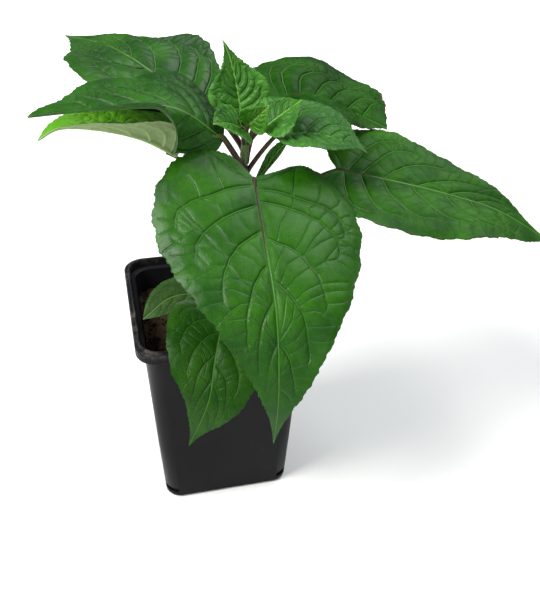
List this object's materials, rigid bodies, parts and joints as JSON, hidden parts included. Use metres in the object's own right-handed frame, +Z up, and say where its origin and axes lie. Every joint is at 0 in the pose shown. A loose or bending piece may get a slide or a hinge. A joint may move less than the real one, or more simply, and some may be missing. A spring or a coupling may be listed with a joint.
{
  "type": "potted chilli pepper plant",
  "caption": "Young chilli pepper plant with broad pointed quilted leaves on arching stalks, growing from soil in a square tapered plastic nursery pot.",
  "frame": {"origin": "centre of the pot's flat underside, where the pot stands", "axes": "+Z up along the pot's own axis, X and Y along the pot's sides, -Y towards the side over which the largest leaf hangs"},
  "size_m": [0.2341, 0.181, 0.2431],
  "materials": {
    "pot": "satin black thin moulded plastic",
    "soil": "loose dark potting soil",
    "stem": "smooth green stem, purple brown at the forks",
    "leaf": "satin green leaf blade with a network of veins"
  },
  "bodies": {
    "root": {"pot": "pot", "soil": "soil", "stem": "stem", "leaf_front": "leaf", "leaf_low_front": "leaf", "leaf_low_inner": "leaf", "leaf_back_left": "leaf", "leaf_left": "leaf", "leaf_left_lower": "leaf", "leaf_top": "leaf", "leaf_back_right": "leaf", "leaf_right": "leaf", "leaf_right_large": "leaf", "leaf_right_inner": "leaf", "leaf_crown_left": "leaf", "leaf_crown_bright": "leaf", "leaf_crown_right": "leaf"}
  },
  "joints": []
}
